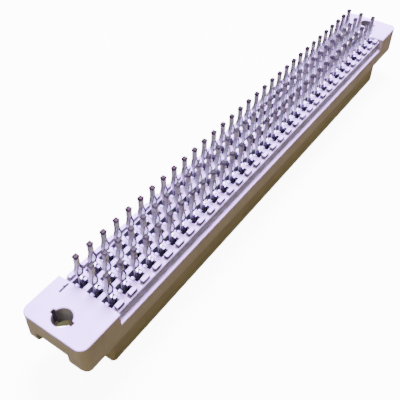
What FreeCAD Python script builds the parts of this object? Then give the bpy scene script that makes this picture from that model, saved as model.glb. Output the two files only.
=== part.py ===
import FreeCAD, Part
import os

from FreeCAD import Vector

# Three-row press-fit backplane connector, female, 96 positions.
# X runs along the rows, Y across them, Z up from the mating face to the board.
# The middle contact row lies on Y = 0.

# Contact grid
pitch = 2.54
column_count = 32
row_count = 3

# Housing heights above the mating face
housing_height = 10.3
collar_height = 5.0
field_recess = 0.6
ledge_drop = 2.15

# Housing plan
overall_length = 95.0
flange_width = 10.5
flange_corner_radius = 1.3
leg_end_radius = 1.0
field_length = 81.0
field_width = 9.2
plug_length = 84.0
plug_width = 8.6
plug_corner_radius = 0.5
plug_lead_chamfer = 0.25

# Fixing holes, each with two opposite keyways, and the nut slots below them
hole_spacing = 90.0
hole_line_offset = 0.3
hole_diameter = 2.8
keyway_width = 0.62
keyway_span = 3.6
flange_plate = 2.85
nut_slot_width = 5.4

# Standoff bars on the recessed field, one outside each end of a column
bar_length = 1.32
bar_width = 0.65
bar_gap = 0.26

# Pin-one mark: a short groove with a pointer, beside row one on the flange
mark_length = 1.6
mark_width = 0.14
mark_depth = 0.15
mark_pointer = 0.26
mark_gap = 0.3
mark_row_offset = 0.56

# Contact cavities: wide at the board side, drawn in to the mating mouth
cavity_length = 1.6
cavity_width = 1.85
mouth_length = 1.3
mouth_width = 1.15

# Contacts, each stamped flat from strip
strip_thickness = 0.55
tail_length = 4.7
tip_width = 0.62
shaft_width = 0.6
eye_base = 0.75
eye_length = 2.35
eye_width = 1.12
eye_wall = 0.3
neck_width = 0.42
shoulder_rise = 0.15
body_clearance = 0.02
fork_recess = 1.2
fork_depth = 4.2
fork_mouth = 0.66
tine_clearance = 0.08

# Heights that the named sizes give
collar_bottom = housing_height - collar_height
field_top = housing_height - field_recess
ledge_top = housing_height - ledge_drop
slot_ceiling = housing_height - flange_plate
cut_margin = 1.0


def column_x(index):
    return (index - (column_count - 1) / 2) * pitch


def row_y(index):
    return ((row_count - 1) / 2 - index) * pitch


def rounded_plate(length, width, radius, bottom, top):
    """Upright prism with rounded corners, centred on the Z axis."""
    plate = Part.makeBox(length, width, top - bottom, Vector(-length / 2, -width / 2, bottom))
    upright = [edge for edge in plate.Edges if is_upright(edge)]
    return plate.makeFillet(radius, upright)


def is_upright(edge):
    first, last = edge.Vertexes[0].Point, edge.Vertexes[-1].Point
    return abs(first.x - last.x) < 1e-6 and abs(first.y - last.y) < 1e-6


def edges_at_height(shape, height):
    return [edge for edge in shape.Edges
            if all(abs(vertex.Point.z - height) < 1e-6 for vertex in edge.Vertexes)]


def centred_box(length, width, bottom, top, x=0.0, y=0.0):
    return Part.makeBox(length, width, top - bottom, Vector(x - length / 2, y - width / 2, bottom))


def closed_face(points):
    return Part.Face(Part.makePolygon(points + points[:1]))


def make_collar():
    """Flanged upper part: plan corners and the lower end edges are rounded."""
    plan = rounded_plate(overall_length, flange_width, flange_corner_radius,
                         collar_bottom, housing_height)
    block = centred_box(overall_length, flange_width, collar_bottom, housing_height)
    lower_ends = [edge for edge in edges_at_height(block, collar_bottom)
                  if abs(abs(edge.CenterOfMass.x) - overall_length / 2) < 1e-6]
    return plan.common(block.makeFillet(leg_end_radius, lower_ends))


def make_plug():
    """Mating body, with a chamfer around the edge that enters first."""
    plan = rounded_plate(plug_length, plug_width, plug_corner_radius, 0.0, collar_bottom)
    block = centred_box(plug_length, plug_width, 0.0, collar_bottom)
    return plan.common(block.makeChamfer(plug_lead_chamfer, edges_at_height(block, 0.0)))


def make_bars():
    """Standoff bars, flush with the board face, along both edges of the field."""
    outer_row = row_y(0)
    bar_y = outer_row + cavity_width / 2 + bar_gap + bar_width / 2
    return [centred_box(bar_length, bar_width, field_top, housing_height, column_x(column), side * bar_y)
            for column in range(column_count) for side in (-1, 1)]


def make_field_cut():
    """Recess over the contact field that leaves the bars, and a ledge along each side."""
    top = housing_height + cut_margin
    recess = centred_box(field_length, flange_width + cut_margin, field_top, top)
    recess = recess.cut(make_bars())
    ledge_width = (flange_width - field_width) / 2
    ledges = [Part.makeBox(field_length, ledge_width + cut_margin, top - ledge_top,
                           Vector(-field_length / 2, edge, ledge_top))
              for edge in (field_width / 2, -field_width / 2 - ledge_width - cut_margin)]
    return [recess] + ledges


def make_fixing_cuts(side):
    """Keyed screw hole and the nut slot, open at the end face and below."""
    x = side * hole_spacing / 2
    bore = Part.makeCylinder(hole_diameter / 2, flange_plate + 2 * cut_margin,
                             Vector(x, hole_line_offset, slot_ceiling - cut_margin))
    keyway = centred_box(keyway_width, keyway_span, slot_ceiling - cut_margin,
                         housing_height + cut_margin, x, hole_line_offset)
    slot_length = (overall_length - plug_length) / 2
    slot = centred_box(slot_length + cut_margin, nut_slot_width, collar_bottom - cut_margin,
                       slot_ceiling, side * (plug_length + slot_length + cut_margin) / 2, hole_line_offset)
    return [bore, keyway, slot]


def make_mark_cut():
    """Groove beside the first row, with a small pointer at its middle."""
    bottom = housing_height - mark_depth
    top = housing_height + cut_margin
    x = -field_length / 2 - mark_gap - mark_length / 2
    y = row_y(0) + mark_row_offset
    groove = centred_box(mark_length, mark_width, bottom, top, x, y)
    pointer = closed_face([Vector(x - mark_pointer / 2, y, bottom), Vector(x + mark_pointer / 2, y, bottom),
                           Vector(x, y + mark_pointer, bottom)])
    return groove.fuse(pointer.extrude(Vector(0, 0, top - bottom)))


def make_cavity(x, y):
    """Through cavity with drafted walls, from the mating mouth up to the field."""
    return Part.makeWedge(x - mouth_length / 2, 0.0, y - mouth_width / 2,
                          y - cavity_width / 2, x - cavity_length / 2,
                          x + mouth_length / 2, field_top, y + mouth_width / 2,
                          y + cavity_width / 2, x + cavity_length / 2)


def make_cavities():
    """The wedge primitive grows along Y, so each cavity is turned to grow along Z."""
    cavities = []
    for column in range(column_count):
        for row in range(row_count):
            cavity = make_cavity(column_x(column), -row_y(row))
            cavity.rotate(Vector(0, 0, 0), Vector(1, 0, 0), 90)
            cavities.append(cavity)
    return cavities


def make_wells():
    """Clear way above each cavity, also where the recessed field ends short of it."""
    return [centred_box(cavity_length, cavity_width, field_top, housing_height + cut_margin,
                        column_x(column), row_y(row))
            for column in range(column_count) for row in range(row_count)]


def make_housing():
    housing = make_collar().fuse(make_plug())
    housing = housing.cut(make_field_cut())
    housing = housing.cut(make_fixing_cuts(-1) + make_fixing_cuts(1))
    housing = housing.cut(make_mark_cut())
    housing = housing.cut(Part.makeCompound(make_wells()))
    return housing.cut(Part.makeCompound(make_cavities())).removeSplitter()


def cavity_half_length(z):
    """Half the length of a cavity at a height above the mating face."""
    return (mouth_length + (cavity_length - mouth_length) * z / field_top) / 2


def contact_outline():
    """Right half of the contact, from the tip down to the fork, as X and Z pairs."""
    tip = housing_height + tail_length
    eye_bottom = housing_height + eye_base
    eye_middle = eye_bottom + eye_length / 2
    shoulder = field_top + shoulder_rise
    fork_bottom = fork_recess
    return [(tip_width / 2, tip),
            (shaft_width / 2, eye_bottom + eye_length),
            (eye_width / 2, eye_middle),
            (neck_width / 2, eye_bottom),
            (neck_width / 2, shoulder),
            (cavity_length / 2 - body_clearance, shoulder),
            (cavity_half_length(fork_bottom) - tine_clearance, fork_bottom),
            (fork_mouth / 2, fork_bottom),
            (0.0, fork_bottom + fork_depth)]


def eye_outline():
    """Opening of the compliant eye, with limbs of even width on both sides."""
    eye_bottom = housing_height + eye_base
    half_length = eye_length / 2 - eye_wall
    middle = eye_bottom + eye_length / 2
    half_width = eye_width / 2 - eye_wall
    return [(0.0, middle + half_length), (half_width, middle),
            (0.0, middle - half_length), (-half_width, middle)]


def strip_face(outline, y):
    return closed_face([Vector(x, y, z) for x, z in outline])


def make_contact():
    right = contact_outline()
    left = [(-x, z) for x, z in reversed(right[:-1])]
    back = -strip_thickness / 2
    blank = strip_face(right + left, back).cut(strip_face(eye_outline(), back))
    return blank.extrude(Vector(0, strip_thickness, 0)).Solids[0]


def make_contact_column(contact, column):
    copies = []
    for row in range(row_count):
        copy = contact.copy()
        copy.translate(Vector(column_x(column), row_y(row), 0))
        copies.append(copy)
    return Part.makeCompound(copies)


def main():
    os.makedirs("parts", exist_ok=True)
    make_housing().exportStep("parts/housing.step")
    contact = make_contact()
    for column in range(column_count):
        make_contact_column(contact, column).exportStep(f"parts/contact_column_{column + 1:02d}.step")


main()
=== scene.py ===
import math

import bmesh
import bpy
from mathutils import Matrix, Vector


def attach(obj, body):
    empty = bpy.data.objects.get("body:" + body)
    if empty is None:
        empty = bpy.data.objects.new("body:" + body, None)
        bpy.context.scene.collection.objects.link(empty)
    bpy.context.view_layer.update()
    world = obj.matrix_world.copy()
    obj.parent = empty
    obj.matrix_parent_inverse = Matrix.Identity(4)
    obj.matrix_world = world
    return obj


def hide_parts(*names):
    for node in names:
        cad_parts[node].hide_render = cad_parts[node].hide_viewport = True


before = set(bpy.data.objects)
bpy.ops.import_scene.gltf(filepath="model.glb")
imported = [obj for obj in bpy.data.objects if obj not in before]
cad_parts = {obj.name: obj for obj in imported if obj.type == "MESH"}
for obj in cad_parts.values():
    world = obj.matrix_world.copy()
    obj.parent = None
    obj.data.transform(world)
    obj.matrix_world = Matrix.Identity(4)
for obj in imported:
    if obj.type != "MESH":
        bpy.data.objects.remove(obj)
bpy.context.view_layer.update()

# Three-row press-fit backplane connector, standing on its mating face.
# X runs along the rows, Y across them and Z up from the mating face; the middle row is on Y = 0.
# Sizes and places are in millimetres unless a comment says otherwise, and MM turns them into metres.
MM = 0.001

# Contact grid
PITCH = 2.54
COLUMNS = 32
ROWS = 3

# Heights of the housing's faces, of its plug's chamfer and of the contacts' tips
BOARD_FACE = 10.3
FIELD = 9.7
PLUG_CHAMFER = 0.25
TIP = 15.0

# Plan of the housing: just inside the end and the side of the recessed field, the plug's end,
# and a screw hole
FIELD_END = 40.45
FIELD_SIDE = 4.55
PLUG_END = 42.0
FIXING_X = 45.0
FIXING_Y = 0.3

# Pin-one mark: a box around it, its middle, a reach just past the sides of its pointer,
# and the way that the mark is moved along Y and its pointer along X too
MARK_X = (-42.6, -40.7)
MARK_Y = (2.8, 3.6)
MARK_FOOT = BOARD_FACE - 0.3
MARK_MIDDLE = -41.6
POINTER_REACH = 0.2
MARK_SHIFT = 0.17

# Eased edges of the housing: radius, its share on small details, and the height to which
# the chamfer of the plug is lowered
EDGE_RADIUS = 0.13
FINE_SHARE = 0.25
LEAD_EDGE = 0.02

# Angles up to which two faces are one, from which an edge is eased, and from which it stays sharp
FLAT = math.radians(1.0)
EASED = math.radians(35.0)
SHARP = math.radians(40.0)

# How near two places, two heights, and two points of one cut are taken as the same
SAME_PLACE = 0.001
SAME_HEIGHT = 0.01
SAME_POINT = 0.0001

# Slots for the ears of a contact, from its axis, and how far their cut goes past the board face
EAR_REACH = 1.02
EAR_HALF = 0.39
EAR_FLOOR = 9.2
CUT_MARGIN = 1.0

# Pads between the rows: plan, the parts above and below the field, and eased edges
RIB_LENGTH = 1.3
RIB_WIDTH = 0.4
RIB_RISE = 0.05
RIB_DEPTH = 0.1
RIB_EASE = 0.02

# Strip of the contacts: thickness, and the radius of its edges
STRIP = 0.58
STRIP_EASE = 0.03

# Half widths of a contact's shaft, and of its neck on the right and on the left; the neck's foot
SHAFT_HALF = 0.29
RIGHT_NECK = 0.25
LEFT_NECK = 0.17
NECK_FOOT = 9.45

# Eye and its opening: heights of the top, the widest place and the bottom, half widths at the
# widest place and at the opening's ends, and the steps of the curve above and below
EYE_HEIGHTS = (13.4, 12.05, 10.45)
EYE_HALF_WIDTH = 0.60
EYE_STEPS = (7, 9)
OPENING_HEIGHTS = (13.25, 12.0, 11.48)
OPENING_HALF_WIDTH = 0.32
OPENING_END = 0.0001
OPENING_STEPS = (10, 7)

# Outlines of the head, the ear and the fork, as (distance from the axis, height)
HEAD_OUTLINE = [(0.32, TIP), (0.375, TIP - 0.07), (0.385, TIP - 0.34), (SHAFT_HALF, TIP - 0.48)]
EAR_OUTLINE = [(0.26, 9.2), (0.36, 9.2), (0.42, 9.35), (0.43, 9.64), (0.48, 9.71), (0.62, 9.74),
               (0.84, 9.73), (0.95, 9.70), (1.0, 9.62), (1.0, 9.32), (0.95, 9.26), (0.78, 9.24)]
FORK_OUTLINE = [(0.765, 8.0), (0.70, 5.6), (0.63, 3.2), (0.60, 1.6), (0.52, 1.25), (0.42, 1.2),
                (0.31, 1.7), (0.24, 2.6), (0.27, 3.6), (0.2, 5.0), (0.08, 5.4)]

# Head and ears of a contact: where they begin, how thick they are as a share of the strip,
# and for each ear also how far it is set back
HEAD_DEPTH = 0.4
HEAD_SPREAD = 1.12
EAR_START = 0.4
EAR_HEIGHTS = (9.3, 9.8)
LEFT_EAR = (1.12, 0.06)
RIGHT_EAR = (0.8, 0.1)

# Textures: scales to a metre, details, the range of a noise that is used, and bumps
MOTTLE_SCALE = 180.0
CLOUD_SCALE = 900.0
STREAK_SCALE = 2500.0
GRAIN_SCALE = 6000.0
SOFT_DETAIL = 3.0
FINE_DETAIL = 2.0
NOISE_ROUGHNESS = 0.55
NOISE_RANGE = (0.3, 0.7)
BUMP_HEIGHT = 0.02
GRAIN_BUMP = 0.15
STREAK_BUMP = 0.05

# Housing: colours, painted shade in openings and on the places that get less light, and the surface
PLASTIC_COLORS = ((0.60, 0.565, 0.50), (0.68, 0.645, 0.575))
CAVITY_SHADE = (0.44, 0.44, 0.42)
HOLE_SHADE = (0.34, 0.42, 0.25)
MARK_SHADE = (0.10, 0.13, 0.07)
WALL_SHADE = (0.39, 0.53, 0.34)
BAR_SHADE = (0.45, 0.45, 0.48)
OUTER_SHADE = (0.86, 0.84, 0.66)
PLUG_SHADE = (0.82, 0.80, 0.74)
KEYWAY_SHADE = (0.42, 0.38, 0.46)
UNDER_SHADE = (0.22, 0.22, 0.26)
PLASTIC_ROUGHNESS = (0.42, 0.55)
PLASTIC_SPECULAR = 0.4

# Their limits, as the value where the share is 0 and the value where it is 1: heights,
# distances from the line of the screw holes, then parts of the normal
CAVITY_TOP = (FIELD - 0.005, FIELD - 0.04)
CAVITY_FOOT = (0.1, 0.3)
HOLE_TOP = (BOARD_FACE - 0.05, BOARD_FACE - 0.25)
MARK_DEPTH = (MARK_FOOT, BOARD_FACE - 0.25)
WALL_FOOT = (8.1, 8.2)
BAR_FOOT = (FIELD - 0.02, FIELD + 0.02)
PLUG_TOP = (5.35, 5.2)
KEYWAY_ASIDE = (0.9, 1.4)
UNDER_ASIDE = (3.6, 2.0)
UPRIGHT = (0.5, 0.3)
LENGTHWISE = (0.2, 0.9)
ENDWISE = (0.5, 0.9)

# Their extents: distances from the middle, half sizes of slot and hole around the slot's middle,
# the reach at the plug's end, areas as the middle along X and Y and half sizes, and the fade at
# the edges of all of them
CAVITY_END = FIELD_END - 0.1
CAVITY_SIDE = 3.5
WALL_END = FIELD_END + 0.02
SLOT_MIDDLE = 44.75
SLOT_HALF_LENGTH = 2.65
SLOT_HALF_WIDTH = 2.68
HOLE_HALF_LENGTH = 1.6
UNDER_REACH = 0.1
GROOVE_AREA = (MARK_MIDDLE, 3.1 + MARK_SHIFT, 0.84, 0.16)
POINTER_AREA = (MARK_MIDDLE + MARK_SHIFT, 3.28 + MARK_SHIFT, 0.15, 0.14)
EDGE_FADE = 0.01

# Contacts: colours by height, with painted light, shade and reflection, for the sheared flanks,
# the rolled faces and the faces that look up
METAL_LOW = 9.0
FLANK_PAINTED_LIGHT = ((9.2, (0.28, 0.30, 0.26)), (9.6, (0.72, 0.76, 0.64)), (10.4, (0.70, 0.76, 0.62)),
                (10.9, (0.47, 0.52, 0.42)), (12.9, (0.46, 0.51, 0.40)), (13.2, (0.30, 0.35, 0.24)),
                (14.5, (0.32, 0.37, 0.23)), (14.62, (0.12, 0.12, 0.085)))
FACE_PAINTED_LIGHT = ((10.45, (0.05, 0.05, 0.06)), (10.55, (1.0, 1.0, 0.95)), (11.2, (1.0, 1.0, 0.95)),
               (11.3, (0.035, 0.037, 0.028)), (13.1, (0.035, 0.037, 0.025)),
               (13.45, (0.30, 0.38, 0.17)), (14.45, (0.34, 0.45, 0.16)), (14.6, (0.10, 0.10, 0.07)))
UP_PAINTED_LIGHT = ((9.5, (0.01, 0.01, 0.012)), (9.6, (0.93, 0.97, 0.90)), (14.5, (0.93, 0.97, 0.90)),
             (14.7, (0.022, 0.021, 0.011)), (14.92, (0.026, 0.0245, 0.0125)))

# Contacts: colours of the painted shade on the neck and the left limb and of the painted light on the
# heads in the two near rows, then glow of the painted glint on the web and of the painted light in the
# eye's lining, and the surface
SHADED_COLOR = (0.10, 0.095, 0.10)
LIMB_SHADE = (0.11, 0.12, 0.11)
NEAR_TOP_LIGHT = (0.022, 0.030, 0.012)
NEAR_HEAD_LIGHT = (0.20, 0.215, 0.15)
WEB_GLINT = (1.0, 0.92, 1.15)
WEB_GLINT_STRENGTH = 11.0
LINING_PAINTED_LIGHT = (0.80, 0.62, 1.40)
LINING_LIGHT_STRENGTH = 1.3
CLOUD_LEVELS = (0.82, 1.0)
ROLLED_ROUGHNESS = (0.20, 0.28)
FLANK_ROUGHNESS = 0.36
SHAFT_ROUGHNESS = 0.55

# Their limits, as the value where the share is 0 and the value where it is 1: parts of the
# normal, places across and along the rows, then heights
ROLLED = (0.5, 0.8)
UPWARD = (0.6, 0.85)
FRONT = (0.10, 0.04)
NEAR_ROWS = (1.4, 1.2)
LEFT_LIMB = (-0.12, -0.2)
FRONT_TOP = (10.55, 10.45)
BESIDE_WEB = (10.45, 10.3)
SHADED_TOP = (11.1, 10.9)
WEB_FOOT = (10.5, 10.55)
WEB_TOP = (11.2, 11.1)
LIMB_FOOT = (11.5, 11.8)
LIMB_TOP = (13.2, 13.0)
LINING_FOOT = (11.5, 11.7)
LINING_TOP = (13.15, 12.9)
SHAFT_FOOT = (13.3, 13.6)
HEAD_FOOT = (14.45, 14.6)

# Slope of the web's lower edges, and half the width that the lining of an eye takes up
WEB_SLOPE = 3.6
LINING_HALF = 0.30

# Floor: half its size in metres, the light it sends back to the part, and what the camera sees
FLOOR_HALF = 2.0
FLOOR_BOUNCE = (0.028, 0.040, 0.003)
FLOOR_ROUGHNESS = 0.9
FLOOR_COLOR = (0.50, 0.75, 0.33)
FLOOR_GLOW = (1.0, 1.0, 1.0)
FLOOR_STRENGTH = 10.0

# Shade on the floor where the near screw hole shows it: an area, cut along a slant and faded out
SHADE_COLOR = (0.02, 0.03, 0.006)
SHADE_GLOW = (0.006, 0.0075, 0.0015)
SHADE_AREA = (-41.6, 5.8, 1.35, 1.35)
SHADE_SLANT = 1.08
SHADE_EDGE = (-39.88, -39.80)
SHADE_FADE = (-37.4, -36.8)

# Light from all around by the height of its direction, and the sky that the camera sees
SKY_COLORS = ((0.0, (0.09, 0.08, 0.035)), (0.65, (0.10, 0.09, 0.045)), (0.97, (0.5, 0.38, 0.7)))
SKY_STRENGTH = 1.0
PALE_SKY = (1.0, 1.0, 1.0)
PALE_STRENGTH = 12.0

# Lights: size, place and target in metres, and power in watts
LIGHT_SIZE = 0.2
KEY_LIGHT = ((0.15, 0.10, 0.42), (0.0, 0.0, 0.01), 31.0)
SIDE_LIGHT = ((0.15, -0.26, 0.07), (0.0, 0.0, 0.005), 0.22)
END_LIGHT = ((-0.34, -0.06, 0.07), (0.0, 0.0, 0.005), 0.34)
KEY_COLOR = (0.46, 0.275, 1.0)
WARM_COLOR = (1.0, 0.84, 0.38)

# Camera: place, directions, focal length in pixels of a square picture, and clipping in metres
CAMERA_PLACE = (-70.06, -37.39, 72.37)
CAMERA_RIGHT = (0.5765, -0.8171, 0.0087)
CAMERA_FORWARD = (0.5844, 0.4048, -0.7032)
FOCAL_PIXELS = 601.17
IMAGE_SIZE = 400
SENSOR = 36.0
CLIP_NEAR = 0.005
CLIP_FAR = 10.0


def column_x(index):
    return (index - (COLUMNS - 1) / 2) * PITCH


def row_y(index):
    return ((ROWS - 1) / 2 - index) * PITCH


def new_material(name):
    material = bpy.data.materials.new(name)
    material.use_nodes = True
    tree = material.node_tree
    return material, tree, tree.nodes["Principled BSDF"]


def feed(tree, socket, value):
    """Gives an input another node's output, a colour or a number."""
    if isinstance(value, bpy.types.NodeSocket):
        tree.links.new(value, socket)
    elif isinstance(value, tuple):
        socket.default_value = (*value, 1.0)
    else:
        socket.default_value = value


def add_split(tree, vector):
    """The parts of a vector, found by the names X, Y and Z."""
    split = tree.nodes.new("ShaderNodeSeparateXYZ")
    tree.links.new(vector, split.inputs["Vector"])
    return split.outputs


def add_places(tree):
    """Object coordinates, then the same and the surface's normal, each in parts."""
    source = tree.nodes.new("ShaderNodeTexCoord").outputs
    return source["Object"], add_split(tree, source["Object"]), add_split(tree, source["Normal"])


def add_noise(tree, coords, scale, detail):
    noise = tree.nodes.new("ShaderNodeTexNoise")
    noise.inputs["Scale"].default_value = scale
    noise.inputs["Detail"].default_value = detail
    noise.inputs["Roughness"].default_value = NOISE_ROUGHNESS
    tree.links.new(coords, noise.inputs["Vector"])
    return noise.outputs["Fac"]


def add_ramp(tree, factor, stops):
    """Colours along a factor, given as (position, colour)."""
    ramp = tree.nodes.new("ShaderNodeValToRGB")
    elements = ramp.color_ramp.elements
    while len(elements) < len(stops):
        elements.new(0.5)
    for element, (position, color) in zip(elements, stops):
        element.position = position
        element.color = (*color, 1.0)
    tree.links.new(factor, ramp.inputs["Fac"])
    return ramp.outputs["Color"]


def add_noise_ramp(tree, noise, low, high):
    """Two colours at the ends of the range of a noise that is used."""
    return add_ramp(tree, noise, list(zip(NOISE_RANGE, (low, high))))


def add_noise_levels(tree, noise, low, high):
    """The same with two levels of grey."""
    return add_noise_ramp(tree, noise, (low,) * 3, (high,) * 3)


def add_bump(tree, bsdf, height, strength):
    bump = tree.nodes.new("ShaderNodeBump")
    bump.inputs["Strength"].default_value = strength
    bump.inputs["Distance"].default_value = BUMP_HEIGHT * MM
    tree.links.new(height, bump.inputs["Height"])
    tree.links.new(bump.outputs["Normal"], bsdf.inputs["Normal"])


def add_math(tree, operation, *values):
    """A math node whose inputs are sockets or numbers; returns its output."""
    node = tree.nodes.new("ShaderNodeMath")
    node.operation = operation
    for socket, value in zip(node.inputs, values):
        feed(tree, socket, value)
    return node.outputs["Value"]


def add_product(tree, first, *others):
    product = first
    for other in others:
        product = add_math(tree, "MULTIPLY", product, other)
    return product


def add_inverse(tree, share):
    return add_math(tree, "SUBTRACT", 1.0, share)


def add_size(tree, value):
    return add_math(tree, "ABSOLUTE", value)


def add_offset(tree, value, place):
    """A coordinate as measured from a place."""
    return add_math(tree, "SUBTRACT", value, place * MM)


def add_step(tree, value, low, high):
    """0 at low, 1 at high, straight between and held outside."""
    node = tree.nodes.new("ShaderNodeMapRange")
    node.inputs["From Min"].default_value = low
    node.inputs["From Max"].default_value = high
    tree.links.new(value, node.inputs["Value"])
    return node.outputs["Result"]


def add_range(tree, value, low, high):
    """The same for a coordinate, between two places."""
    return add_step(tree, value, low * MM, high * MM)


def add_inside(tree, value, half):
    """1 where a coordinate is nearer to zero than half a width."""
    return add_range(tree, add_size(tree, value), half + EDGE_FADE, half)


def add_area(tree, place, x, y, half_x, half_y):
    """1 over a rectangle seen from above."""
    return add_product(tree, add_inside(tree, add_offset(tree, place["X"], x), half_x),
                       add_inside(tree, add_offset(tree, place["Y"], y), half_y))


def add_mix(tree, share, first, second, blend="MIX"):
    """Goes from the first colour to the second, or to their product, as the share goes from 0 to 1."""
    mix = tree.nodes.new("ShaderNodeMix")
    mix.data_type = "RGBA"
    mix.blend_type = blend
    feed(tree, mix.inputs["Factor"], share)
    feed(tree, mix.inputs["A"], first)
    feed(tree, mix.inputs["B"], second)
    return mix.outputs["Result"]


def add_dimmed(tree, color, share, tint):
    return add_mix(tree, share, color, tint, "MULTIPLY")


def add_cavities(tree, place):
    """1 in the contact cavities, below the field, where shade is painted."""
    return add_product(tree, add_range(tree, place["Z"], *CAVITY_TOP),
                       add_range(tree, place["Z"], *CAVITY_FOOT),
                       add_inside(tree, place["X"], CAVITY_END),
                       add_inside(tree, place["Y"], CAVITY_SIDE))


def add_mark(tree, place):
    """1 in the groove and the pointer of the pin-one mark, where shade is painted."""
    groove = add_area(tree, place, *GROOVE_AREA)
    pointer = add_area(tree, place, *POINTER_AREA)
    return add_product(tree, add_math(tree, "MAXIMUM", groove, pointer),
                       add_range(tree, place["Z"], *MARK_DEPTH))


def add_holes(tree, place):
    """Shares of painted shade in the screw holes and slots, and in the keyways and walls beside them.
    """
    along = add_offset(tree, add_size(tree, place["X"]), SLOT_MIDDLE)
    across = add_offset(tree, place["Y"], FIXING_Y)
    hole = add_product(tree, add_range(tree, place["Z"], *HOLE_TOP),
                       add_inside(tree, along, SLOT_HALF_LENGTH),
                       add_inside(tree, across, SLOT_HALF_WIDTH))
    keyway = add_product(tree, hole, add_inside(tree, along, HOLE_HALF_LENGTH),
                         add_range(tree, add_size(tree, across), *KEYWAY_ASIDE))
    return hole, keyway


def add_painted_face_shade(tree, color, place, facing):
    """Painted shade: walls and bars beside the field, long sides, the plug and the plug's ends."""
    upright = add_step(tree, facing["Z"], *UPRIGHT)
    beside = add_product(tree, add_range(tree, place["Z"], *WALL_FOOT),
                         add_inside(tree, place["X"], WALL_END))
    # Painted shade on the walls beside the field
    color = add_dimmed(tree, color, add_product(tree, upright, beside), WALL_SHADE)
    # Painted shade, darker, on the sides of the bars
    bar = add_product(tree, upright, add_range(tree, place["Z"], *BAR_FOOT), beside)
    color = add_dimmed(tree, color, bar, BAR_SHADE)
    # Painted shade on the long sides
    lengthwise = add_step(tree, add_size(tree, facing["Y"]), *LENGTHWISE)
    outer = add_product(tree, lengthwise, add_inverse(tree, beside))
    color = add_dimmed(tree, color, outer, OUTER_SHADE)
    # Painted shade on the plug below the collar
    color = add_dimmed(tree, color, add_range(tree, place["Z"], *PLUG_TOP), PLUG_SHADE)
    # Painted shade on the middle of the plug's ends
    endwise = add_step(tree, add_size(tree, facing["X"]), *ENDWISE)
    along = add_offset(tree, add_size(tree, place["X"]), PLUG_END)
    across = add_size(tree, add_offset(tree, place["Y"], FIXING_Y))
    under = add_product(tree, endwise, add_inside(tree, along, UNDER_REACH),
                        add_range(tree, across, *UNDER_ASIDE))
    return add_dimmed(tree, color, under, UNDER_SHADE)


def housing_material():
    """Matte moulded thermoplastic: slight mottling, a fine grain, and painted shade in the openings.
    """
    material, tree, bsdf = new_material("moulded_plastic")
    coords, place, facing = add_places(tree)
    color = add_noise_ramp(tree, add_noise(tree, coords, MOTTLE_SCALE, SOFT_DETAIL), *PLASTIC_COLORS)
    # Painted shade in the contact cavities
    color = add_mix(tree, add_cavities(tree, place), color, CAVITY_SHADE)
    # Painted shade in the screw holes and slots, darker still in the keyways and the walls beside them
    hole, keyway = add_holes(tree, place)
    color = add_mix(tree, hole, color, HOLE_SHADE)
    color = add_dimmed(tree, color, keyway, KEYWAY_SHADE)
    # Painted shade in the groove and the pointer of the pin-one mark
    mark = add_mark(tree, place)
    color = add_mix(tree, mark, color, MARK_SHADE)
    color = add_painted_face_shade(tree, color, place, facing)
    tree.links.new(color, bsdf.inputs["Base Color"])
    grain = add_noise(tree, coords, GRAIN_SCALE, FINE_DETAIL)
    tree.links.new(add_noise_levels(tree, grain, *PLASTIC_ROUGHNESS), bsdf.inputs["Roughness"])
    add_bump(tree, bsdf, grain, GRAIN_BUMP)
    specular = add_product(tree, add_inverse(tree, mark), PLASTIC_SPECULAR)
    tree.links.new(specular, bsdf.inputs["Specular IOR Level"])
    return material


def add_height_ramp(tree, z, colors):
    """Colours along the contact, given as (height, colour)."""
    share = add_range(tree, z, METAL_LOW, TIP)
    return add_ramp(tree, share, [((height - METAL_LOW) / (TIP - METAL_LOW), color)
                                  for height, color in colors])


def add_web_shares(tree, place, rolled):
    """Shares of painted shade on the neck, and of a painted glint on the web between the eye's lower
    limbs.
    """
    z = place["Z"]
    across = add_math(tree, "WRAP", place["Y"], PITCH / 2 * MM, -PITCH / 2 * MM)
    front = add_product(tree, add_range(tree, across, *FRONT), add_range(tree, z, *FRONT_TOP))
    slope = add_product(tree, add_size(tree, place["X"]), WEB_SLOPE)
    beside = add_range(tree, add_math(tree, "SUBTRACT", z, slope), *BESIDE_WEB)
    low = add_product(tree, beside, rolled, add_range(tree, z, *SHADED_TOP))
    web = add_product(tree, rolled, add_inverse(tree, beside),
                      add_range(tree, z, *WEB_FOOT), add_range(tree, z, *WEB_TOP))
    return add_math(tree, "MAXIMUM", front, low), web


def add_contact_color_and_light(tree, place, facing, rolled, shaded):
    """Colour by height and facing with painted light and shade, on the neck, the limb and near heads.
    """
    z = place["Z"]
    # Painted light by facing: lighter flanks, darker rolled faces with a painted white glint low on
    # the eye and dark painted reflection on its limbs
    flanks = add_height_ramp(tree, z, FLANK_PAINTED_LIGHT)
    faces = add_height_ramp(tree, z, FACE_PAINTED_LIGHT)
    color = add_mix(tree, rolled, flanks, faces)
    # Painted shade on the neck
    color = add_mix(tree, shaded, color, SHADED_COLOR)
    # Painted shade on the eye's left limb
    limb = add_product(tree, add_range(tree, place["X"], *LEFT_LIMB), rolled,
                       add_range(tree, z, *LIMB_FOOT), add_range(tree, z, *LIMB_TOP))
    color = add_mix(tree, limb, color, LIMB_SHADE)
    # Painted light on the heads in the two near rows, on their sides and tops
    head = add_product(tree, add_range(tree, place["Y"], *NEAR_ROWS), add_range(tree, z, *HEAD_FOOT))
    color = add_mix(tree, head, color, NEAR_HEAD_LIGHT)
    # Painted highlights on the faces that look up, with dark tops on the tips
    tops = add_mix(tree, head, add_height_ramp(tree, z, UP_PAINTED_LIGHT), NEAR_TOP_LIGHT)
    return add_mix(tree, add_step(tree, facing["Z"], *UPWARD), color, tops)


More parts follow.
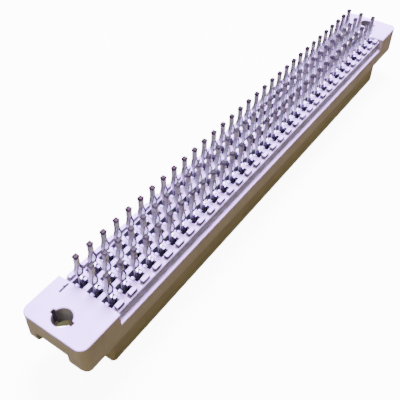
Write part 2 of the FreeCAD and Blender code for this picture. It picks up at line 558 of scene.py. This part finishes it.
def add_painted_glow(tree, bsdf, place, flank, web):
    """Painted glint glowing on the web, and weaker painted light glowing inside the eye."""
    # Painted light: the web glows as a glint, and the eye's lining glows more weakly
    lining = add_product(tree, add_inside(tree, place["X"], LINING_HALF), flank,
                         add_range(tree, place["Z"], *LINING_FOOT),
                         add_range(tree, place["Z"], *LINING_TOP))
    strength = add_math(tree, "ADD", add_product(tree, web, WEB_GLINT_STRENGTH),
                        add_product(tree, lining, LINING_LIGHT_STRENGTH))
    tree.links.new(strength, bsdf.inputs["Emission Strength"])
    tree.links.new(add_mix(tree, lining, WEB_GLINT, LINING_PAINTED_LIGHT), bsdf.inputs["Emission Color"])


def contact_material():
    """Tin-plated strip, with painted light, shade and reflection by height and facing, and dark tips.
    """
    material, tree, bsdf = new_material("tin_plate")
    coords, place, facing = add_places(tree)
    rolled = add_step(tree, add_size(tree, facing["Y"]), *ROLLED)
    flank = add_inverse(tree, rolled)
    shaded, web = add_web_shares(tree, place, rolled)
    color = add_contact_color_and_light(tree, place, facing, rolled, shaded)
    clouds = add_noise(tree, coords, CLOUD_SCALE, SOFT_DETAIL)
    color = add_dimmed(tree, color, 1.0, add_noise_levels(tree, clouds, *CLOUD_LEVELS))
    tree.links.new(color, bsdf.inputs["Base Color"])
    tree.links.new(add_inverse(tree, shaded), bsdf.inputs["Metallic"])
    add_painted_glow(tree, bsdf, place, flank, web)
    streaks = add_noise(tree, coords, STREAK_SCALE, FINE_DETAIL)
    rough = add_noise_levels(tree, streaks, *ROLLED_ROUGHNESS)
    shaft = add_range(tree, place["Z"], *SHAFT_FOOT)
    rough = add_math(tree, "MAXIMUM", rough, add_product(tree, shaft, SHAFT_ROUGHNESS))
    rough = add_math(tree, "MAXIMUM", rough, add_product(tree, flank, FLANK_ROUGHNESS))
    tree.links.new(rough, bsdf.inputs["Roughness"])
    add_bump(tree, bsdf, streaks, STREAK_BUMP)
    return material


def link_object(name, data):
    piece = bpy.data.objects.new(name, data)
    bpy.context.scene.collection.objects.link(piece)
    return piece


def evaluated_mesh(piece):
    """A new mesh of a piece as it looks with its modifiers, or of a curve with its thickness."""
    graph = bpy.context.evaluated_depsgraph_get()
    return bpy.data.meshes.new_from_object(piece.evaluated_get(graph))


def apply_modifiers(piece):
    mesh = evaluated_mesh(piece)
    piece.modifiers.clear()
    piece.data = mesh


def smooth_by_angle(mesh):
    mesh.shade_smooth()
    mesh.set_sharp_from_angle(angle=SHARP)


def mesh_from(work, name):
    """A mesh with the faces of a bmesh, which is freed."""
    mesh = bpy.data.meshes.new(name)
    work.to_mesh(mesh)
    work.free()
    return mesh


def add_block(work, low, high):
    """Adds a box between two corners to a bmesh."""
    size = Vector(high) - Vector(low)
    centre = (Vector(high) + Vector(low)) / 2
    place = Matrix.Translation(centre * MM) @ Matrix.Diagonal((*(size * MM), 1.0))
    bmesh.ops.create_cube(work, size=1.0, matrix=place)


def cut_ear_slots(piece):
    """Cuts a slot into each end wall of a cavity, where an ear of its contact sits."""
    work = bmesh.new()
    for column in range(COLUMNS):
        for row in range(ROWS):
            x, y = column_x(column), row_y(row)
            add_block(work, (x - EAR_REACH, y - EAR_HALF, EAR_FLOOR),
                      (x + EAR_REACH, y + EAR_HALF, BOARD_FACE + CUT_MARGIN))
    cutter = link_object("ear_slots", mesh_from(work, "ear_slots"))
    cut = piece.modifiers.new("slots", "BOOLEAN")
    cut.operation = "DIFFERENCE"
    cut.solver = "EXACT"
    cut.object = cutter
    apply_modifiers(piece)
    bpy.data.objects.remove(cutter)


def is_marked(place):
    """Whether a place belongs to the pin-one mark."""
    return (MARK_X[0] < place.x < MARK_X[1] and MARK_Y[0] < place.y < MARK_Y[1]
            and place.z > MARK_FOOT)


def shift_details(work):
    """Lowers the plug's chamfer, and moves the pin-one mark and its pointer."""
    for vertex in work.verts:
        place = vertex.co / MM
        if abs(place.z - PLUG_CHAMFER) < SAME_HEIGHT:
            vertex.co.z = LEAD_EDGE * MM
        if is_marked(place):
            vertex.co.y += MARK_SHIFT * MM
            if abs(place.x - MARK_MIDDLE) < POINTER_REACH:
                vertex.co.x += MARK_SHIFT * MM


def split_lines():
    """Planes through the middles of all openings, as (axis, place), so that no face has a hole."""
    along = [column_x(column) for column in range(COLUMNS)] + [-FIXING_X, FIXING_X]
    across = [row_y(row) for row in range(ROWS)] + [FIXING_Y]
    return [(0, place) for place in along] + [(1, place) for place in across]


def is_flat(edge):
    return len(edge.link_faces) == 2 and edge.calc_face_angle(0.0) < FLAT


def is_on_line(edge, lines):
    return any(all(abs(vertex.co[axis] - place * MM) < SAME_PLACE * MM for vertex in edge.verts)
               for axis, place in lines)


def tidy_flats(work):
    """Joins the triangles of each flat face, leaving only edges that run on the split lines."""
    lines = split_lines()
    for axis, place in lines:
        point = Vector((0.0, 0.0, 0.0))
        normal = Vector((0.0, 0.0, 0.0))
        point[axis] = place * MM
        normal[axis] = 1.0
        bmesh.ops.bisect_plane(work, geom=work.verts[:] + work.edges[:] + work.faces[:],
                               dist=SAME_POINT * MM, plane_co=point, plane_no=normal)
    loose = [edge for edge in work.edges if is_flat(edge) and not is_on_line(edge, lines)]
    bmesh.ops.dissolve_edges(work, edges=loose, use_verts=False)
    spare = [vertex for vertex in work.verts
             if len(vertex.link_edges) == 2 and vertex.calc_edge_angle(1.0) < FLAT]
    bmesh.ops.dissolve_verts(work, verts=spare)


def easing(edge):
    """How much an edge is eased: the outline fully, small details a little, the mark not at all."""
    if len(edge.link_faces) != 2 or edge.calc_face_angle_signed(0.0) < EASED:
        return 0.0
    middle = (edge.verts[0].co + edge.verts[1].co) / 2 / MM
    if is_marked(middle):
        return 0.0
    if middle.z < PLUG_CHAMFER or (abs(middle.x) < FIELD_END and abs(middle.y) < FIELD_SIDE):
        return FINE_SHARE
    return 1.0


def ease_edges(piece, material):
    """Rounds the weighted edges, and smooths only the new faces, known by their material slot."""
    piece.data.materials.clear()
    piece.data.materials.append(material)
    piece.data.materials.append(material)
    bevel = piece.modifiers.new("ease", "BEVEL")
    bevel.width = EDGE_RADIUS * MM
    bevel.segments = 2
    bevel.limit_method = "WEIGHT"
    bevel.use_clamp_overlap = False
    bevel.material = 1
    apply_modifiers(piece)
    for face in piece.data.polygons:
        face.use_smooth = face.material_index == 1
        face.material_index = 0
    piece.data.materials.pop(index=1)


def make_housing(material):
    """The moulding's form from model.glb, with its flat faces joined up and its edges eased."""
    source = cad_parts["housing"]
    piece = link_object("housing_moulding", source.data.copy())
    cut_ear_slots(piece)
    work = bmesh.new()
    work.from_mesh(piece.data)
    bmesh.ops.remove_doubles(work, verts=work.verts, dist=SAME_PLACE * MM)
    shift_details(work)
    tidy_flats(work)
    weights = work.edges.layers.float.new("bevel_weight_edge")
    for edge in work.edges:
        edge[weights] = easing(edge)
    work.to_mesh(piece.data)
    work.free()
    ease_edges(piece, material)
    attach(piece, "root")
    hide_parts("housing")


def make_field_ribs(material):
    """Low raised pads between the rows, one to a column."""
    work = bmesh.new()
    for column in range(COLUMNS):
        for row in range(ROWS - 1):
            x = column_x(column)
            y = (row_y(row) + row_y(row + 1)) / 2
            add_block(work, (x - RIB_LENGTH / 2, y - RIB_WIDTH / 2, FIELD - RIB_DEPTH),
                      (x + RIB_LENGTH / 2, y + RIB_WIDTH / 2, FIELD + RIB_RISE))
    bmesh.ops.bevel(work, geom=work.edges[:], offset=RIB_EASE * MM, segments=1,
                    affect="EDGES", profile=0.5)
    mesh = mesh_from(work, "field_ribs")
    piece = link_object("field_ribs", mesh)
    smooth_by_angle(mesh)
    mesh.materials.append(material)
    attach(piece, "root")


def bulge(z, middle, end):
    """1 at the middle height, falling smoothly to 0 at the end height."""
    share = min(1.0, (z - middle) / (end - middle))
    return 0.5 + 0.5 * math.cos(math.pi * share)


def swelling(heights, half_widths, steps):
    """A side that widens smoothly from the top to the middle, and narrows to the bottom."""
    top, middle, bottom = heights
    upper, wide, lower = half_widths
    points = []
    for i in range(steps[0]):
        z = top + (middle - top) * i / steps[0]
        points.append((upper + (wide - upper) * bulge(z, middle, top), z))
    for i in range(steps[1] + 1):
        z = middle + (bottom - middle) * i / steps[1]
        points.append((lower + (wide - lower) * bulge(z, middle, bottom), z))
    return points


def side_outline(neck):
    """One side of the contact from the tip to the fork, with the neck's half width."""
    eye = swelling(EYE_HEIGHTS, (SHAFT_HALF, EYE_HALF_WIDTH, neck), EYE_STEPS)
    return HEAD_OUTLINE + eye + [(neck, NECK_FOOT)] + EAR_OUTLINE + FORK_OUTLINE


def mirrored(points):
    return [(-x, z) for x, z in reversed(points)]


def opening_outline():
    """The eye's opening, whose ends are almost pointed."""
    half_widths = (OPENING_END, OPENING_HALF_WIDTH + OPENING_END, OPENING_END)
    right = swelling(OPENING_HEIGHTS, half_widths, OPENING_STEPS)
    return right + mirrored(right[1:-1])


def add_loop(curve, points):
    spline = curve.splines.new("POLY")
    spline.points.add(len(points) - 1)
    for point, (x, z) in zip(spline.points, points):
        point.co = (x * MM, z * MM, 0.0, 1.0)
    spline.use_cyclic_u = True
    spline.use_smooth = True


def form_head_and_ears(mesh):
    """Thickens the head, and sets each ear back while its thickness changes."""
    for vertex in mesh.vertices:
        x, z = vertex.co.x / MM, vertex.co.z / MM
        if z > TIP - HEAD_DEPTH:
            vertex.co.y *= HEAD_SPREAD
        elif abs(x) > EAR_START and EAR_HEIGHTS[0] < z < EAR_HEIGHTS[1]:
            spread, setback = LEFT_EAR if x < 0 else RIGHT_EAR
            vertex.co.y = vertex.co.y * spread - setback * MM


def make_contact_mesh():
    """One contact, stamped from strip: outline and eye, thickness, and eased edges."""
    curve = bpy.data.curves.new("contact_outline", "CURVE")
    curve.dimensions = "2D"
    curve.fill_mode = "BOTH"
    curve.extrude = (STRIP / 2 - STRIP_EASE) * MM
    curve.bevel_depth = STRIP_EASE * MM
    curve.bevel_resolution = 1
    curve.offset = -STRIP_EASE * MM
    add_loop(curve, side_outline(RIGHT_NECK) + mirrored(side_outline(LEFT_NECK)))
    add_loop(curve, opening_outline())
    holder = link_object("contact_outline", curve)
    mesh = evaluated_mesh(holder)
    bpy.data.objects.remove(holder)
    mesh.transform(Matrix.Rotation(math.radians(90.0), 4, "X"))
    form_head_and_ears(mesh)
    return mesh


def make_contact_columns(material):
    """Three contacts to a column, in one mesh that all columns share."""
    contact = make_contact_mesh()
    work = bmesh.new()
    for row in range(ROWS):
        copy = contact.copy()
        copy.transform(Matrix.Translation((0.0, row_y(row) * MM, 0.0)))
        work.from_mesh(copy)
        bpy.data.meshes.remove(copy)
    bmesh.ops.remove_doubles(work, verts=work.verts, dist=SAME_POINT * MM)
    bmesh.ops.recalc_face_normals(work, faces=work.faces)
    mesh = mesh_from(work, "contact_column")
    smooth_by_angle(mesh)
    mesh.materials.clear()
    mesh.materials.append(material)
    for column in range(COLUMNS):
        piece = link_object(f"contacts_{column + 1:02d}", mesh)
        piece.location.x = column_x(column) * MM
        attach(piece, "root")
        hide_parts(f"contact_column_{column + 1:02d}")


def pick_for_camera(tree, others, camera, output):
    """Shows one shader to the camera and the other to all other rays."""
    path = tree.nodes.new("ShaderNodeLightPath")
    pick = tree.nodes.new("ShaderNodeMixShader")
    tree.links.new(path.outputs["Is Camera Ray"], pick.inputs["Fac"])
    tree.links.new(others, pick.inputs[1])
    tree.links.new(camera, pick.inputs[2])
    tree.links.new(pick.outputs["Shader"], tree.nodes[output].inputs["Surface"])


def add_floor_shade(tree):
    """1 in the shade on the floor."""
    place = add_split(tree, tree.nodes.new("ShaderNodeTexCoord").outputs["Object"])
    slant = add_math(tree, "ADD", place["Y"], add_product(tree, place["X"], SHADE_SLANT))
    edge = add_range(tree, slant, *SHADE_EDGE)
    strip = add_math(tree, "SUBTRACT", edge, add_range(tree, slant, *SHADE_FADE))
    return add_product(tree, add_area(tree, place, *SHADE_AREA), strip)


def floor_material():
    """A pale glow to the camera, and to the part a surface that sends back a little warm light."""
    material, tree, bsdf = new_material("pale_floor")
    feed(tree, bsdf.inputs["Base Color"], FLOOR_BOUNCE)
    feed(tree, bsdf.inputs["Roughness"], FLOOR_ROUGHNESS)
    shade = add_floor_shade(tree)
    pale = tree.nodes.new("ShaderNodeBsdfDiffuse")
    tree.links.new(add_mix(tree, shade, FLOOR_COLOR, SHADE_COLOR), pale.inputs["Color"])
    glow = tree.nodes.new("ShaderNodeEmission")
    tree.links.new(add_mix(tree, shade, FLOOR_GLOW, SHADE_GLOW), glow.inputs["Color"])
    feed(tree, glow.inputs["Strength"], FLOOR_STRENGTH)
    both = tree.nodes.new("ShaderNodeAddShader")
    tree.links.new(pale.outputs["BSDF"], both.inputs[0])
    tree.links.new(glow.outputs["Emission"], both.inputs[1])
    pick_for_camera(tree, bsdf.outputs["BSDF"], both.outputs["Shader"], "Material Output")
    return material


def make_floor():
    work = bmesh.new()
    bmesh.ops.create_grid(work, x_segments=1, y_segments=1, size=FLOOR_HALF)
    mesh = mesh_from(work, "floor")
    floor = link_object("floor", mesh)
    mesh.materials.append(floor_material())


def make_world():
    """Dim light from all around, under a sky that the camera sees as pale as the floor."""
    world = bpy.data.worlds.new("studio")
    bpy.context.scene.world = world
    world.use_nodes = True
    tree = world.node_tree
    direction = add_split(tree, tree.nodes.new("ShaderNodeTexCoord").outputs["Generated"])
    background = tree.nodes["Background"]
    tree.links.new(add_ramp(tree, direction["Z"], SKY_COLORS), background.inputs["Color"])
    feed(tree, background.inputs["Strength"], SKY_STRENGTH)
    pale = tree.nodes.new("ShaderNodeBackground")
    feed(tree, pale.inputs["Color"], PALE_SKY)
    feed(tree, pale.inputs["Strength"], PALE_STRENGTH)
    pick_for_camera(tree, background.outputs["Background"], pale.outputs["Background"], "World Output")


def make_light(name, location, target, power, color):
    data = bpy.data.lights.new(name, "AREA")
    data.shape = "SQUARE"
    data.size = LIGHT_SIZE
    data.energy = power
    data.color = color
    light = link_object(name, data)
    light.location = location
    direction = Vector(target) - Vector(location)
    light.rotation_euler = direction.to_track_quat("-Z", "Y").to_euler()
    return light


def make_lights():
    """A cool soft light from above, and two weak warm ones for the near side and the near end."""
    make_light("key", *KEY_LIGHT, KEY_COLOR)
    for name, light in (("side", SIDE_LIGHT), ("end", END_LIGHT)):
        make_light(name, *light, WARM_COLOR).visible_glossy = False


def make_camera():
    data = bpy.data.cameras.new("camera")
    data.sensor_width = SENSOR
    data.lens = FOCAL_PIXELS * SENSOR / IMAGE_SIZE
    data.clip_start = CLIP_NEAR
    data.clip_end = CLIP_FAR
    camera = link_object("camera", data)
    forward = Vector(CAMERA_FORWARD).normalized()
    right = Vector(CAMERA_RIGHT)
    right = (right - forward * right.dot(forward)).normalized()
    up = right.cross(forward)
    turn = Matrix((right, up, -forward)).transposed()
    camera.matrix_world = Matrix.Translation(Vector(CAMERA_PLACE) * MM) @ turn.to_4x4()
    bpy.context.scene.camera = camera


plastic = housing_material()
tin = contact_material()
make_housing(plastic)
make_field_ribs(plastic)
make_contact_columns(tin)
make_floor()
make_world()
make_lights()
make_camera()
